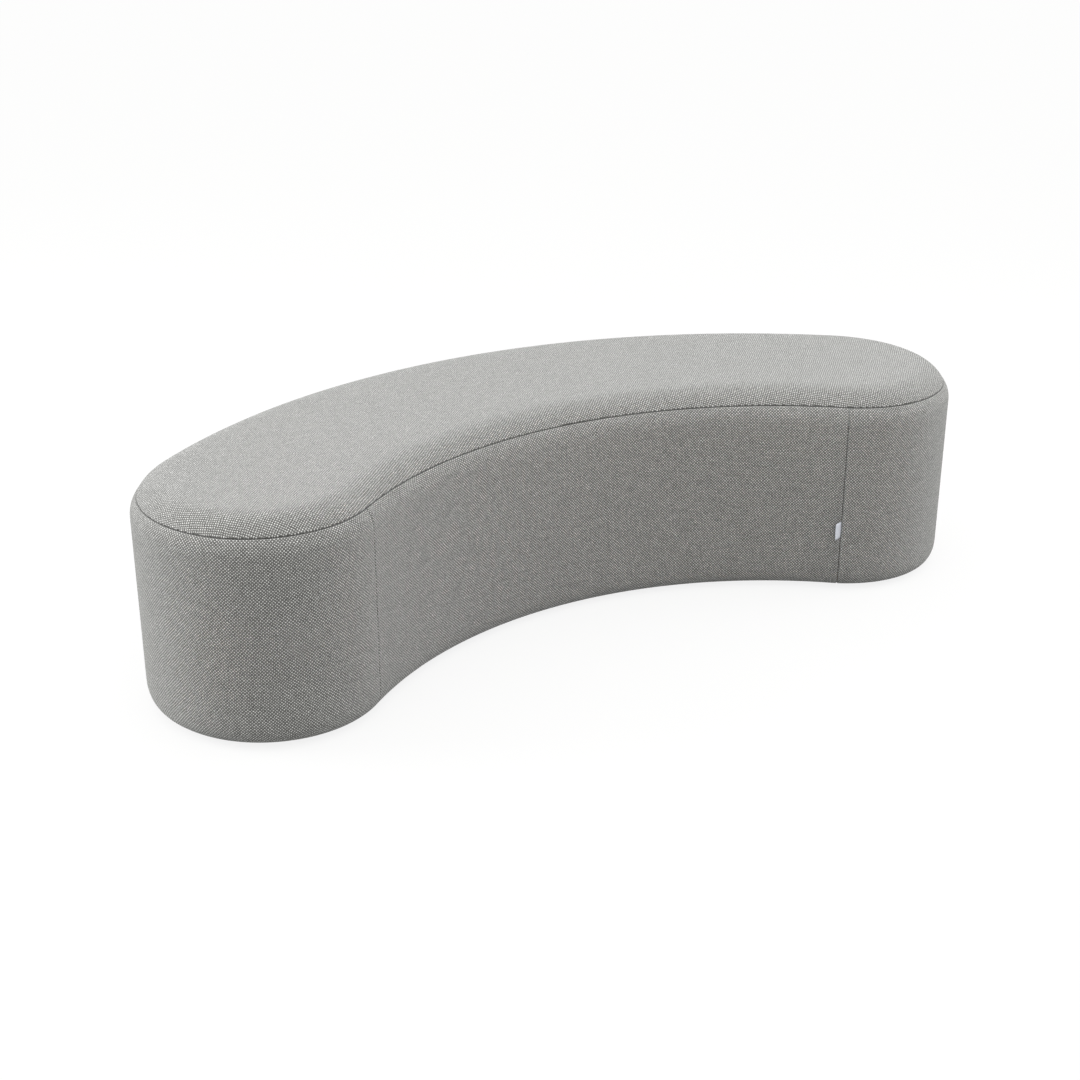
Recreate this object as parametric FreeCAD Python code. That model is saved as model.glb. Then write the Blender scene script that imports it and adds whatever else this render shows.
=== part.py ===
import FreeCAD, Part
import math
import os

# Crescent bench ottoman, upholstered all round. Millimetres, +Z up.
# +X runs along the length and the hollow front faces -Y.
# The origin is on the floor, below the middle of the overall box.

# Plan of the finished cover
OVERALL_LENGTH = 1800.0
BACK_RADIUS = 1270.0
MID_DEPTH = 484.0
END_BACK_RADIUS = 254.0
END_FRONT_RADIUS = 221.0

# Upright section of the finished cover
OVERALL_HEIGHT = 440.0
CROWN_RISE = 33.0
CROWN_WIDTH = 56.0
SEAM_INSET = 12.5
ROLL_HEIGHT = 32.5

# Cover cloth and its sewing
FABRIC = 1.5
SEAM_ALLOWANCE = 9.0
TURN_UNDER = 45.0
RIGHT_SEAM_SHIFT = 12.0

# Fillings
SIDE_FOAM = 18.0
SEAT_FOAM = 60.0
WADDING = 8.0
FOAM_END_GAP = 0.3
LAYER_GAP = 0.3

# Wooden frame
BOARD = 18.0
SKIN = 4.0
SKIN_GAP = 1.0
RIB = 18.0
RIB_STEPS = 3
TENON_LENGTH = 60.0
TENON_PITCH = 190.0
SLOT_CLEARANCE = 0.2
WINDOW_STILE = 80.0
WINDOW_RAIL = 75.0
WINDOW_CORNER = 22.0
CLEAT = 30.0
VENT_DIAMETER = 35.0

# Frame screws
SCREW_PITCH = 350.0
SPINE_SCREW_FROM_TIP = 40.0
SCREW_LENGTH = 45.0
SCREW_DIAMETER = 4.0
SCREW_HEAD_DIAMETER = 8.0
SCREW_HEAD_HEIGHT = 3.0

# Underside
DUST_COVER = 0.8
DUST_RIM_INSET = 35.0
DUST_STEP = 3.0
GLIDE_HEIGHT = 10.0
GLIDE_DIAMETER = 40.0
GLIDE_INSET = 95.0
GLIDE_BORE = 4.5
GLIDE_RECESS_DIAMETER = 11.0
GLIDE_RECESS_DEPTH = 5.0
GLIDE_CHAMFER = 1.5
GLIDE_SCREW_LENGTH = 20.0
GLIDE_SCREW_DIAMETER = 4.0
GLIDE_SCREW_HEAD_DIAMETER = 9.0
GLIDE_SCREW_HEAD_HEIGHT = 3.0

# Folded ribbon tab in the right-hand front seam
LABEL_HEIGHT = 36.0
LABEL_REACH = 19.0
LABEL_THICKNESS = 0.8
LABEL_ROOT = 8.0
LABEL_CENTRE_HEIGHT = 141.0
LABEL_LEAN = math.radians(31.0)

# Levels, from the floor up
board_bottom = GLIDE_HEIGHT + DUST_COVER
cover_bottom = board_bottom - FABRIC
base_top = board_bottom + BOARD
seam_level = OVERALL_HEIGHT - CROWN_RISE
roll_start = seam_level - ROLL_HEIGHT
wadding_top = OVERALL_HEIGHT - FABRIC
foam_top = wadding_top - WADDING
deck_top = foam_top - SEAT_FOAM
deck_bottom = deck_top - BOARD
side_foam_top = min(deck_top, roll_start)

# Insets from the widest outline, counted inwards
foam_face = FABRIC + LAYER_GAP
foam_back = foam_face + SIDE_FOAM
bottom_roll = foam_back + LAYER_GAP
board_inset = bottom_roll + SKIN
turn_under_end = bottom_roll + TURN_UNDER
allowance_end = SEAM_INSET + SEAM_ALLOWANCE
crown_end = SEAM_INSET + CROWN_WIDTH
dust_step_start = turn_under_end + 1.0
dust_step_end = dust_step_start + DUST_STEP

# Circles that make the upright section
roll_radius = (SEAM_INSET ** 2 + ROLL_HEIGHT ** 2) / (2.0 * SEAM_INSET)
crown_radius = (CROWN_WIDTH ** 2 + CROWN_RISE ** 2) / (2.0 * CROWN_RISE)
bottom_centre = (bottom_roll, cover_bottom + bottom_roll)
roll_centre = (roll_radius, roll_start)
crown_centre = (crown_end, OVERALL_HEIGHT - crown_radius)

# Circles that make the plan, all tangent to one another
phi = math.asin((OVERALL_LENGTH / 2.0 - END_BACK_RADIUS) / (BACK_RADIUS - END_BACK_RADIUS))
outer_x = (BACK_RADIUS - END_BACK_RADIUS) * math.sin(phi)
outer_y = (BACK_RADIUS - END_BACK_RADIUS) * math.cos(phi)
inner_x = outer_x + (END_BACK_RADIUS - END_FRONT_RADIUS) * math.cos(phi)
inner_y = outer_y - (END_BACK_RADIUS - END_FRONT_RADIUS) * math.sin(phi)
front_mid = BACK_RADIUS - MID_DEPTH
rise = inner_y - front_mid
FRONT_RADIUS = (inner_x ** 2 + rise ** 2 - END_FRONT_RADIUS ** 2) / (2.0 * (END_FRONT_RADIUS - rise))
front_y = front_mid - FRONT_RADIUS
turn = math.atan2(inner_y - front_y, inner_x)
y_shift = -(BACK_RADIUS + inner_y - END_FRONT_RADIUS) / 2.0
half_turn = math.pi / 2.0

# Each arc: centre x, centre y, radius, start angle, end angle, +1 bulging or -1 hollow
BACK = (0.0, y_shift, BACK_RADIUS, half_turn - phi, half_turn + phi, 1)
LEFT_OUTER = (-outer_x, outer_y + y_shift, END_BACK_RADIUS, half_turn + phi, math.pi + phi, 1)
LEFT_INNER = (-inner_x, inner_y + y_shift, END_FRONT_RADIUS, math.pi + phi, 2.0 * math.pi - turn, 1)
FRONT = (0.0, front_y + y_shift, FRONT_RADIUS, math.pi - turn, turn, -1)
RIGHT_INNER = (inner_x, inner_y + y_shift, END_FRONT_RADIUS, math.pi + turn, 2.0 * math.pi - phi, 1)
RIGHT_OUTER = (outer_x, outer_y + y_shift, END_BACK_RADIUS, -phi, half_turn - phi, 1)
LOOP = [BACK, LEFT_OUTER, LEFT_INNER, FRONT, RIGHT_INNER, RIGHT_OUTER]
WHOLE = [(arc, arc[3], arc[4]) for arc in LOOP]
right_seam = RIGHT_INNER[3] + RIGHT_SEAM_SHIFT / END_FRONT_RADIUS


def on_arc(arc, inset, angle, z=0.0):
    reach = arc[2] - arc[5] * inset
    return FreeCAD.Vector(arc[0] + reach * math.cos(angle), arc[1] + reach * math.sin(angle), z)


def on_circle(centre, radius, degrees):
    angle = math.radians(degrees)
    return (centre[0] + radius * math.cos(angle), centre[1] + radius * math.sin(angle))


def fuse(shapes):
    return shapes[0].multiFuse(shapes[1:]).removeSplitter()


def slab(inset, low, high):
    """Plan outline drawn in by one inset, between two levels."""
    edges = []
    for arc, start, end in WHOLE:
        ends = [on_arc(arc, inset, a, low) for a in (start, (start + end) / 2.0, end)]
        edges.append(Part.Arc(*ends).toShape())
    return Part.Face(Part.Wire(edges)).extrude(FreeCAD.Vector(0, 0, high - low))


def ring(section, arc, start, end):
    """Section of (inset, level) corners turned about one plan arc.
    A corner with four values is reached by an arc through its last two."""
    edges = []
    last = section[-1]
    for corner in section:
        places = [last[:2], corner[2:], corner[:2]]
        points = [FreeCAD.Vector(arc[2] - arc[5] * p[0], 0, p[1]) for p in places if p]
        if len(points) == 3:
            edges.append(Part.Arc(*points).toShape())
        elif points[0].distanceToPoint(points[1]) > 1e-6:
            edges.append(Part.makeLine(*points))
        last = corner
    face = Part.Face(Part.Wire(edges))
    face.rotate(FreeCAD.Vector(), FreeCAD.Vector(0, 0, 1), math.degrees(start))
    face.translate(FreeCAD.Vector(arc[0], arc[1], 0))
    axis = FreeCAD.Vector(arc[0], arc[1], 0)
    solid = face.revolve(axis, FreeCAD.Vector(0, 0, 1), math.degrees(end - start))
    return solid if solid.Volume > 0 else solid.reversed()


def band(section, runs):
    return fuse([ring(section, arc, start, end) for arc, start, end in runs])


def step_along(run, distance):
    """Angle that covers a distance along a run, in the run's own direction."""
    return math.copysign(distance / run[0][2], run[2] - run[1])


def trimmed(runs, gap):
    """Runs of arcs with both ends drawn back by a gap."""
    inner = [list(run) for run in runs]
    inner[0][1] += step_along(runs[0], gap)
    inner[-1][2] -= step_along(runs[-1], gap)
    return [tuple(run) for run in inner]


def upright_box(centre, direction, length, width, low, high):
    """Box on a plan line: centred, long side along the direction."""
    box = Part.makeBox(length, width, high - low, FreeCAD.Vector(-length / 2.0, -width / 2.0, low))
    box.rotate(FreeCAD.Vector(), FreeCAD.Vector(0, 0, 1), math.degrees(math.atan2(direction.y, direction.x)))
    box.translate(FreeCAD.Vector(centre.x, centre.y, 0))
    return box


def turned(profile, place):
    """Round part from (radius, level) corners, standing at a place."""
    points = [FreeCAD.Vector(r, 0, z) for r, z in profile]
    face = Part.Face(Part.makePolygon(points + points[:1]))
    solid = face.revolve(FreeCAD.Vector(), FreeCAD.Vector(0, 0, 1), 360)
    if solid.Volume < 0:
        solid = solid.reversed()
    solid.translate(place)
    return solid


parts = {}

# Runs of the outline that one strip of cloth, foam or board follows
front_run = [(FRONT, FRONT[3], FRONT[4])]
back_run = [(BACK, BACK[3], BACK[4])]
left_run = [(LEFT_OUTER, LEFT_OUTER[3], LEFT_OUTER[4]), (LEFT_INNER, LEFT_INNER[3], LEFT_INNER[4])]
right_run = [(RIGHT_INNER, RIGHT_INNER[3], RIGHT_INNER[4]), (RIGHT_OUTER, RIGHT_OUTER[3], RIGHT_OUTER[4])]
right_cover_run = [(RIGHT_INNER, right_seam, RIGHT_INNER[4]), right_run[1]]
front_cover_run = front_run + [(RIGHT_INNER, RIGHT_INNER[3], right_seam)]

# Cross ribs, from the left seam to the right one, each on a line across the crescent
rib_lines = {}
for step in range(-RIB_STEPS, RIB_STEPS + 1):
    share = step / float(RIB_STEPS)
    side = "left" if step < 0 else "right"
    name = "rib_center" if step == 0 else "rib_%s_%d" % (side, abs(step))
    start = on_arc(FRONT, 0.0, half_turn - share * (half_turn - turn))
    end = on_arc(BACK, 0.0, half_turn - share * phi)
    rib_lines[name] = (start, end)

rib_space = slab(board_inset, base_top, deck_bottom)
rib_height = deck_bottom - base_top
seat_slots, base_slots = [], []
seat_screws, base_screws = [], []
wood = {}


def frame_screw(place, down):
    """Countersunk screw, its head flush with the board's outer face."""
    head, shank = SCREW_HEAD_DIAMETER / 2.0, SCREW_DIAMETER / 2.0
    sign = -1.0 if down else 1.0
    levels = [0.0, 0.0, SCREW_HEAD_HEIGHT, SCREW_LENGTH - SCREW_DIAMETER, SCREW_LENGTH]
    radii = [0.0, head, shank, shank, 0.0]
    profile = [(r, sign * z) for r, z in zip(radii, levels)]
    return turned(profile, FreeCAD.Vector(place.x, place.y, deck_top if down else board_bottom))


def tenons(centre, direction):
    """Tongues that pass up through the seat board and down through the base board."""
    tongue_up = upright_box(centre, direction, TENON_LENGTH, RIB, deck_bottom, deck_top)
    tongue_down = upright_box(centre, direction, TENON_LENGTH, RIB, board_bottom, base_top)
    length, width = TENON_LENGTH + 2.0 * SLOT_CLEARANCE, RIB + 2.0 * SLOT_CLEARANCE
    seat_slots.append(upright_box(centre, direction, length, width, deck_bottom, deck_top))
    base_slots.append(upright_box(centre, direction, length, width, board_bottom, base_top))
    return [tongue_up, tongue_down]


def window(centre, direction, width):
    """Round-cornered lightening hole through a rib."""
    high = rib_height - 2.0 * WINDOW_RAIL
    hole = upright_box(centre, direction, width, 2.0 * RIB, base_top + WINDOW_RAIL, deck_bottom - WINDOW_RAIL)
    across = [e for e in hole.Edges if abs(e.Length - 2.0 * RIB) < 1e-6]
    corner = min(WINDOW_CORNER, 0.45 * width, 0.45 * high)
    return hole.makeFillet(corner, across)


# Ribs: a board on edge with two windows, four tongues and a screw near each end
for name, (start, end) in rib_lines.items():
    along = (end - start).normalize()
    length = start.distanceToPoint(end)
    middle = (start + end) / 2.0
    board = upright_box(middle, along, length, RIB, base_top, deck_bottom).common(rib_space)
    pane = (length - 2.0 * board_inset - 3.0 * WINDOW_STILE) / 2.0
    pieces = [board]
    for sign in (-1.0, 1.0):
        board_hole = window(middle + along * (sign * (WINDOW_STILE + pane) / 2.0), along, pane)
        pieces[0] = pieces[0].cut(board_hole)
        pieces += tenons(middle + along * (sign * TENON_PITCH / 2.0), along)
        place = middle + along * (sign * SCREW_PITCH / 2.0)
        seat_screws.append(frame_screw(place, True))
        base_screws.append(frame_screw(place, False))
    wood[name] = fuse(pieces)

# End spines: a rib from the last cross rib to the tip of each rounded end, with a glue block each side
for side, sign in (("left", -1.0), ("right", 1.0)):
    start, end = rib_lines["rib_%s_%d" % (side, RIB_STEPS)]
    along = (end - start).normalize()
    out = FreeCAD.Vector(along.y, -along.x, 0) * (1.0 if sign > 0 else -1.0)
    root = (start + end) / 2.0 + out * (RIB / 2.0)
    reach = 2.0 * END_BACK_RADIUS
    board = upright_box(root + out * (reach / 2.0), out, reach, RIB, base_top, deck_bottom).common(rib_space)
    tip = max((v.Point - root).dot(out) for v in board.Vertexes)
    pieces = [board] + tenons(root + out * (tip / 2.0), out)
    place = root + out * (tip - SPINE_SCREW_FROM_TIP)
    seat_screws.append(frame_screw(place, True))
    base_screws.append(frame_screw(place, False))
    wood["%s_end_spine" % side] = fuse(pieces)
    blocks = []
    for way in (-1.0, 1.0):
        spot = root + out * (CLEAT / 2.0) + along * (way * (RIB + CLEAT) / 2.0)
        blocks.append(upright_box(spot, out, CLEAT, CLEAT, base_top, deck_bottom))
    parts["%s_end_glue_blocks" % side] = Part.makeCompound(blocks)

# Screw holes in the ribs follow the screws
for name, shape in wood.items():
    parts[name] = shape.cut(Part.makeCompound(seat_screws + base_screws))

# Glides stand under the base board, two in the middle and two under each end
glide_places = {
    "glide_center_back": on_arc(BACK, GLIDE_INSET, half_turn),
    "glide_center_front": on_arc(FRONT, GLIDE_INSET, half_turn),
    "glide_left_back": on_arc(LEFT_OUTER, GLIDE_INSET, (LEFT_OUTER[3] + LEFT_OUTER[4]) / 2.0),
    "glide_left_front": on_arc(LEFT_INNER, GLIDE_INSET, (LEFT_INNER[3] + LEFT_INNER[4]) / 2.0),
    "glide_right_back": on_arc(RIGHT_OUTER, GLIDE_INSET, (RIGHT_OUTER[3] + RIGHT_OUTER[4]) / 2.0),
    "glide_right_front": on_arc(RIGHT_INNER, GLIDE_INSET, (RIGHT_INNER[3] + RIGHT_INNER[4]) / 2.0),
}
glide_profile = [
    (GLIDE_RECESS_DIAMETER / 2.0, 0.0),
    (GLIDE_DIAMETER / 2.0 - GLIDE_CHAMFER, 0.0),
    (GLIDE_DIAMETER / 2.0, GLIDE_CHAMFER),
    (GLIDE_DIAMETER / 2.0, GLIDE_HEIGHT),
    (GLIDE_BORE / 2.0, GLIDE_HEIGHT),
    (GLIDE_BORE / 2.0, GLIDE_RECESS_DEPTH),
    (GLIDE_RECESS_DIAMETER / 2.0, GLIDE_RECESS_DEPTH),
]
head_low = GLIDE_RECESS_DEPTH - GLIDE_SCREW_HEAD_HEIGHT
screw_profile = [
    (0.0, head_low),
    (GLIDE_SCREW_HEAD_DIAMETER / 2.0, head_low),
    (GLIDE_SCREW_HEAD_DIAMETER / 2.0, GLIDE_RECESS_DEPTH),
    (GLIDE_SCREW_DIAMETER / 2.0, GLIDE_RECESS_DEPTH),
    (GLIDE_SCREW_DIAMETER / 2.0, GLIDE_RECESS_DEPTH + GLIDE_SCREW_LENGTH - GLIDE_SCREW_DIAMETER),
    (0.0, GLIDE_RECESS_DEPTH + GLIDE_SCREW_LENGTH),
]
glide_screws = []
for name, place in glide_places.items():
    parts[name] = turned(glide_profile, place)
    glide_screws.append(turned(screw_profile, place))

# Seat board: crescent deck with slots for the tongues and breathing holes between the ribs
vents = []
for step in range(-RIB_STEPS, RIB_STEPS):
    share = (step + 0.5) / RIB_STEPS
    start = on_arc(FRONT, 0.0, half_turn - share * (half_turn - turn), deck_bottom)
    end = on_arc(BACK, 0.0, half_turn - share * phi, deck_bottom)
    vents.append(Part.makeCylinder(VENT_DIAMETER / 2.0, BOARD, (start + end) / 2.0))
seat_board = slab(board_inset, deck_bottom, deck_top)
parts["seat_board"] = seat_board.cut(Part.makeCompound(seat_slots + vents)).cut(Part.makeCompound(seat_screws))

# Base board: the same crescent, slotted from below and drilled for the glides
base_board = slab(board_inset, board_bottom, base_top)
parts["base_board"] = base_board.cut(Part.makeCompound(base_slots)).cut(Part.makeCompound(base_screws + glide_screws))

parts["seat_board_screws"] = Part.makeCompound(seat_screws)
parts["base_board_screws"] = Part.makeCompound(base_screws)
parts["glide_screws"] = Part.makeCompound(glide_screws)

# Skins: thin bent boards round the frame, butted on the last cross ribs
skin_section = [
    (bottom_roll, board_bottom),
    (board_inset, board_bottom),
    (board_inset, deck_top),
    (bottom_roll, deck_top),
]
skin_runs = {"front": front_run, "back": back_run, "left_end": left_run, "right_end": right_run}
for name, run in skin_runs.items():
    parts[name + "_skin"] = band(skin_section, trimmed(run, SKIN_GAP / 2.0))

# Side foam: strips round the skins, rounded off at the foot, parted for the sewn edges
foam_foot = bottom_roll - foam_face
foam_foot_level = bottom_centre[1] - math.sqrt(foam_foot ** 2 - LAYER_GAP ** 2)
side_foam_section = [
    (foam_face, side_foam_top),
    (foam_face, bottom_centre[1]),
    (foam_back, foam_foot_level) + on_circle(bottom_centre, foam_foot, 225.0),
    (foam_back, side_foam_top),
]
foam_runs = {"front": front_cover_run, "back": back_run, "left_end": left_run, "right_end": right_cover_run}
for name, run in foam_runs.items():
    gap = FOAM_END_GAP if name == "back" else FABRIC + FOAM_END_GAP
    parts[name + "_foam"] = band(side_foam_section, trimmed(run, gap))


def reach_at(centre, radius, level):
    """Inset at which a circle of the section meets a level."""
    return centre[0] - math.sqrt(radius ** 2 - (level - centre[1]) ** 2)


def crown_mid(radius, level):
    """Point halfway along a crown arc that starts at a level."""
    start = math.degrees(math.asin((level - crown_centre[1]) / radius))
    return on_circle(crown_centre, radius, 180.0 - (start + 90.0) / 2.0)


def roll_mid(radius, level):
    """Point halfway along a shoulder arc that ends at a level."""
    end = math.degrees(math.asin((level - roll_centre[1]) / radius))
    return on_circle(roll_centre, radius, 180.0 - end / 2.0)


# Seat foam: crowned slab on the seat board, overhanging the side foam
lap_low, lap_high = seam_level - FABRIC, seam_level + FABRIC
shoulder = roll_radius - FABRIC
foam_shoulder = shoulder - LAYER_GAP
crown_cloth = crown_radius - FABRIC
crown_foam = crown_cloth - WADDING
foam_section = [
    (crown_end, deck_top),
    (bottom_roll, deck_top),
    (bottom_roll, side_foam_top),
    (foam_face, side_foam_top),
    (foam_face, roll_start),
    (reach_at(roll_centre, foam_shoulder, lap_low), lap_low) + roll_mid(foam_shoulder, lap_low),
    (allowance_end + LAYER_GAP, lap_low),
    (allowance_end + LAYER_GAP, lap_high),
    (reach_at(crown_centre, crown_foam, lap_high), lap_high),
    (crown_end, foam_top) + crown_mid(crown_foam, lap_high),
]
parts["seat_foam"] = fuse([band(foam_section, WHOLE), slab(crown_end, deck_top, foam_top)])

# Seat wadding: soft layer over the crown, resting on the sewn edge
wadding_section = [
    (reach_at(crown_centre, crown_foam, lap_high), lap_high),
    (reach_at(crown_centre, crown_cloth, lap_high), lap_high),
    (crown_end, wadding_top) + crown_mid(crown_cloth, lap_high),
    (crown_end, foam_top),
]
wadding_section[0] = wadding_section[0] + crown_mid(crown_foam, lap_high)
parts["seat_wadding"] = fuse([band(wadding_section, WHOLE), slab(crown_end, foam_top, wadding_top)])

# Top panel: crowned cloth with its edge turned in under the wadding
top_section = [
    (allowance_end, lap_high),
    (allowance_end, seam_level),
    (SEAM_INSET, seam_level),
    (crown_end, OVERALL_HEIGHT) + crown_mid(crown_radius, seam_level),
    (crown_end, wadding_top),
    (reach_at(crown_centre, crown_cloth, lap_high), lap_high) + crown_mid(crown_cloth, lap_high),
]
parts["cover_top"] = fuse([band(top_section, WHOLE), slab(crown_end, wadding_top, OVERALL_HEIGHT)])

# Side panels: cloth from the turned-in top edge, over the shoulder and down, then under the base
side_section = [
    (allowance_end, seam_level),
    (allowance_end, lap_low),
    (reach_at(roll_centre, shoulder, lap_low), lap_low),
    (FABRIC, roll_start) + roll_mid(shoulder, lap_low),
    (FABRIC, bottom_centre[1]),
    (bottom_roll, board_bottom) + on_circle(bottom_centre, bottom_roll - FABRIC, 225.0),
    (turn_under_end, board_bottom),
    (turn_under_end, cover_bottom),
    (bottom_roll, cover_bottom),
    (0.0, bottom_centre[1]) + on_circle(bottom_centre, bottom_roll, 225.0),
    (0.0, roll_start),
    (SEAM_INSET, seam_level) + roll_mid(roll_radius, seam_level),
]
flange_section = [
    (FABRIC, bottom_centre[1]),
    (FABRIC + SEAM_ALLOWANCE, bottom_centre[1]),
    (FABRIC + SEAM_ALLOWANCE, side_foam_top),
    (FABRIC, side_foam_top),
]


def side_panel(runs):
    """Side cloth along a run, with an upright turned-in edge at both ends."""
    first, last = runs[0], runs[-1]
    start_edge = (first[0], first[1], first[1] + step_along(first, FABRIC))
    end_edge = (last[0], last[2] - step_along(last, FABRIC), last[2])
    pieces = [ring(side_section, *run) for run in runs]
    pieces += [ring(flange_section, *edge) for edge in (start_edge, end_edge)]
    return fuse(pieces)


# Label: folded ribbon held in the right-hand seam, leaning over the hollow front, left bare
def label_solid(reach):
    """Ribbon from its sewn root out past the cloth by a reach, in plan, then raised."""
    normal = FreeCAD.Vector(math.cos(right_seam), math.sin(right_seam), 0)
    towards_front = FreeCAD.Vector(normal.y, -normal.x, 0)
    lean = normal * math.cos(LABEL_LEAN) + towards_front * math.sin(LABEL_LEAN)
    mitre = LABEL_THICKNESS * math.tan(LABEL_LEAN / 2.0)
    low = LABEL_CENTRE_HEIGHT - LABEL_HEIGHT / 2.0
    seam = on_arc(RIGHT_INNER, 0.0, right_seam, low)
    root = seam - normal * LABEL_ROOT
    inner_side = [root, seam, seam + lean * reach]
    bend = seam + towards_front * LABEL_THICKNESS - normal * mitre
    outer_side = [root + towards_front * LABEL_THICKNESS, bend, bend + lean * (reach + mitre)]
    corners = inner_side + outer_side[::-1]
    face = Part.Face(Part.makePolygon(corners + corners[:1]))
    return face.extrude(FreeCAD.Vector(0, 0, LABEL_HEIGHT))


parts["seam_label"] = label_solid(LABEL_REACH)

# The two side panels meet at the upright seams; the front one is notched for the ribbon
parts["cover_front"] = side_panel(front_cover_run).cut(parts["seam_label"])
parts["cover_wrap"] = side_panel(right_cover_run + back_run + left_run)

# Dust cover: thin cloth under the base, lapped over the turned-under edge of the side panels
dust_section = [
    (DUST_RIM_INSET, cover_bottom),
    (DUST_RIM_INSET, cover_bottom - DUST_COVER),
    (dust_step_start, cover_bottom - DUST_COVER),
    (dust_step_end, GLIDE_HEIGHT),
    (dust_step_end + DUST_STEP, GLIDE_HEIGHT),
    (dust_step_end + DUST_STEP, board_bottom),
    (dust_step_end, board_bottom),
    (dust_step_start, cover_bottom),
]
dust_sheet = fuse([band(dust_section, WHOLE), slab(dust_step_end + DUST_STEP, GLIDE_HEIGHT, board_bottom)])
parts["dust_cover"] = dust_sheet.cut(Part.makeCompound(glide_screws))

os.makedirs("parts", exist_ok=True)
for name, shape in sorted(parts.items()):
    shape.exportStep("parts/%s.step" % name)
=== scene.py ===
import math

import bmesh
import bpy
import numpy as np
from mathutils import Matrix, Vector, noise


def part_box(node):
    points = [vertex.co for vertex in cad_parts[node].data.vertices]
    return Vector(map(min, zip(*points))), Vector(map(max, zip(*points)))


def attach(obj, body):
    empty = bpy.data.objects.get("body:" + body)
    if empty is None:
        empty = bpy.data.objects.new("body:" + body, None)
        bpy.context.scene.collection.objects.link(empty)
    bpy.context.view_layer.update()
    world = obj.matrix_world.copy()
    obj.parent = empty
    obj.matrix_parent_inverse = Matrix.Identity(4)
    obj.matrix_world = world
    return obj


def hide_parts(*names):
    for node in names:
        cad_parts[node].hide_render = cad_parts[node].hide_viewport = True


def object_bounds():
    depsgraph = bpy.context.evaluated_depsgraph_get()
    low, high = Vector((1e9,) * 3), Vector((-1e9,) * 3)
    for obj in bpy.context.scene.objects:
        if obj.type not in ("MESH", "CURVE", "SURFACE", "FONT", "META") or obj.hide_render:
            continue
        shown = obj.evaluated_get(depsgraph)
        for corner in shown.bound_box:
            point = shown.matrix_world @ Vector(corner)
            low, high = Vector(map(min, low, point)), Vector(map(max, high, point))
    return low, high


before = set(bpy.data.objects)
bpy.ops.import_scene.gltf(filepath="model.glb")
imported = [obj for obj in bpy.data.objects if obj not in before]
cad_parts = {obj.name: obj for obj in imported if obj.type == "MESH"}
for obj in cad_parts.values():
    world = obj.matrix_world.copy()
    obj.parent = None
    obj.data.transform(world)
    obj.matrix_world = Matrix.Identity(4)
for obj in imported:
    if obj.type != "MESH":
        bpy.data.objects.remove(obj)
cad_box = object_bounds()

# Boards, cross ribs and end spines: the frame of the bench, routed from 18 mm birch plywood.
# Tongues on the ribs pass through slots in both boards, where they are glued and screwed.
# The cover hides all of it, so the faces are only sanded and the cut edges show their plies.
MM = 0.001
PLY = 1.5 * MM
BIRCH_GRAIN = 4 * MM
BIRCH_FIGURE = 220 * MM


def linear(code):
    """Linear colour of an sRGB hex code such as #a0a09c."""
    channels = [int(code[i:i + 2], 16) / 255 for i in (1, 3, 5)]
    return [c / 12.92 if c <= 0.04045 else ((c + 0.055) / 1.055) ** 2.4 for c in channels] + [1.0]


def put(tree, kind, inputs=(), **settings):
    """Adds a shader node with its settings. Inputs give each socket a value or a link."""
    made = tree.nodes.new("ShaderNode" + kind)
    for name, value in settings.items():
        setattr(made, name, value)
    for name, value in dict(inputs).items():
        if isinstance(value, bpy.types.NodeSocket):
            tree.links.new(value, made.inputs[name])
        else:
            made.inputs[name].default_value = value
    return made


def start_material(name):
    """A new material, with its node tree and its shader."""
    material = bpy.data.materials.new(name)
    material.use_nodes = True
    return material, material.node_tree, material.node_tree.nodes["Principled BSDF"]


def dress(names, material):
    """Gives the frame's own nodes a finish."""
    for name in names:
        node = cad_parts[name]
        node.data.materials.clear()
        node.data.materials.append(material)


def birch_plywood(name, grain_axis):
    """Sanded birch veneer: pale, with long soft figure along the grain and thin dark plies on cut edges."""
    material, tree, shader = start_material(name)
    coords = put(tree, "TexCoord")
    across = [1 / BIRCH_GRAIN] * 3
    across[grain_axis] = 1 / BIRCH_FIGURE
    stretched = put(tree, "Mapping", {"Vector": coords.outputs["Object"], "Scale": across})
    figure = put(tree, "TexNoise", {"Vector": stretched.outputs[0], "Scale": 1.0, "Detail": 4.0})
    veneer = put(tree, "ValToRGB", {"Fac": figure.outputs[0]})
    veneer.color_ramp.elements[0].color = linear("#b98f5f")
    veneer.color_ramp.elements[0].position = 0.3
    veneer.color_ramp.elements[1].color = linear("#dcbd8d")
    veneer.color_ramp.elements[1].position = 0.65
    place = put(tree, "SeparateXYZ", {0: coords.outputs["Object"]})
    layer = put(tree, "Math", {0: place.outputs["Z"], 1: math.pi / PLY}, operation="MULTIPLY")
    stripe = put(tree, "Math", {0: layer.outputs[0]}, operation="SINE")
    facing = put(tree, "SeparateXYZ", {0: put(tree, "NewGeometry").outputs["Normal"]})
    lying = put(tree, "Math", {0: facing.outputs["Z"]}, operation="ABSOLUTE")
    edge = put(tree, "Math", {0: 0.6, 1: lying.outputs[0]}, operation="SUBTRACT", use_clamp=True)
    dark = put(tree, "Math", {0: stripe.outputs[0], 1: edge.outputs[0]}, operation="MULTIPLY", use_clamp=True)
    cut = put(tree, "Mix", {0: dark.outputs[0], 6: veneer.outputs[0], 7: linear("#7d5a38")}, data_type="RGBA")
    bump = put(tree, "Bump", {"Height": figure.outputs[0], "Strength": 0.25, "Distance": 0.3 * MM})
    tree.links.new(cut.outputs[2], shader.inputs["Base Color"])
    tree.links.new(bump.outputs[0], shader.inputs["Normal"])
    shader.inputs["Roughness"].default_value = 0.62
    return material


dress(["base_board", "seat_board"], birch_plywood("birch_plywood_boards", 0))
uprights = [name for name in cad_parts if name.startswith("rib_") or name.endswith("_spine")]
dress(uprights, birch_plywood("birch_plywood_ribs", 2))

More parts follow.
